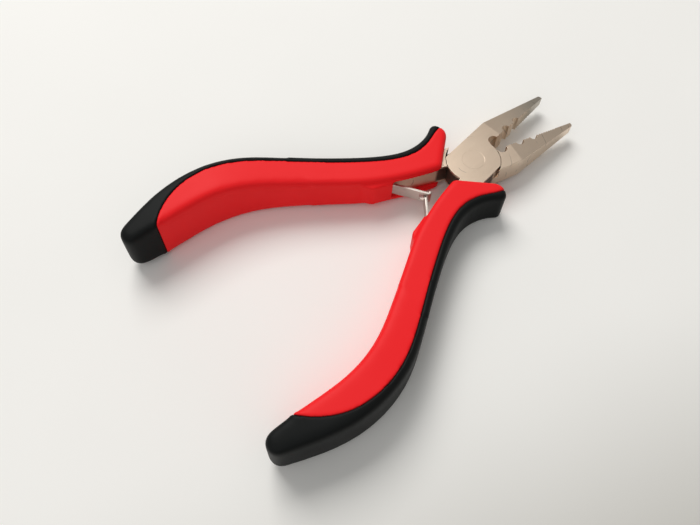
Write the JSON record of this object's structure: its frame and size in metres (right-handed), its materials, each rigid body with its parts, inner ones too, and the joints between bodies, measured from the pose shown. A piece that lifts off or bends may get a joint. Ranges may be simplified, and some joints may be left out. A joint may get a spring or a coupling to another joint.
{
  "type": "crimping pliers",
  "caption": "Small spring-opened pliers with a lap joint, round crimping notches in tapered jaws, and curved two-colour moulded grips with finger guards.",
  "frame": {"origin": "on the pivot axis, where it leaves the joint's back face", "axes": "+X along the open jaws' bisector, from the pivot to the tips; +Z through the joint's thickness, out of its front face; the front half's handle lies on -Y"},
  "size_m": [0.1304, 0.0854, 0.016],
  "materials": {
    "nickel_steel": "satin nickel plate",
    "spring_steel": "bright rolled strip",
    "rivet_steel": "plain",
    "red_plastic": "smooth semi-matte",
    "black_plastic": "satin"
  },
  "bodies": {
    "front_side": {"front_half": "nickel_steel", "front_grip": "red_plastic", "front_grip_cover": "black_plastic", "front_leaf_foot": "spring_steel", "front_leaf_rivet": "rivet_steel"},
    "back_side": {"back_half": "nickel_steel", "back_grip": "red_plastic", "back_grip_cover": "black_plastic", "back_leaf_foot": "spring_steel", "back_leaf_rivet": "rivet_steel", "pivot_rivet": "nickel_steel"},
    "front_leaf": {"front_leaf_blade": "spring_steel"},
    "back_leaf": {"back_leaf_blade": "spring_steel"}
  },
  "joints": [
    {"name": "pivot", "type": "hinge", "parent": "front_side", "child": "back_side", "pos_m": [0, 0, 0], "axis": [0, 0, 1], "range_deg": [0, 20], "stiffness_Nm_per_rad": 0.5, "springref_deg": -8.59},
    {"name": "front_leaf_bend", "type": "hinge", "parent": "front_side", "child": "front_leaf", "pos_m": [-0.02383, -0.00802, 0], "axis": [0, 0, 1], "range_deg": [-22, 0]},
    {"name": "back_leaf_bend", "type": "hinge", "parent": "back_side", "child": "back_leaf", "pos_m": [-0.02383, 0.00802, 0], "axis": [0, 0, 1], "range_deg": [0, 22]}
  ],
  "couplings": [
    {"joint": "front_leaf_bend", "follows": "pivot", "ratio": -1.07},
    {"joint": "back_leaf_bend", "follows": "pivot", "ratio": 1.07}
  ]
}
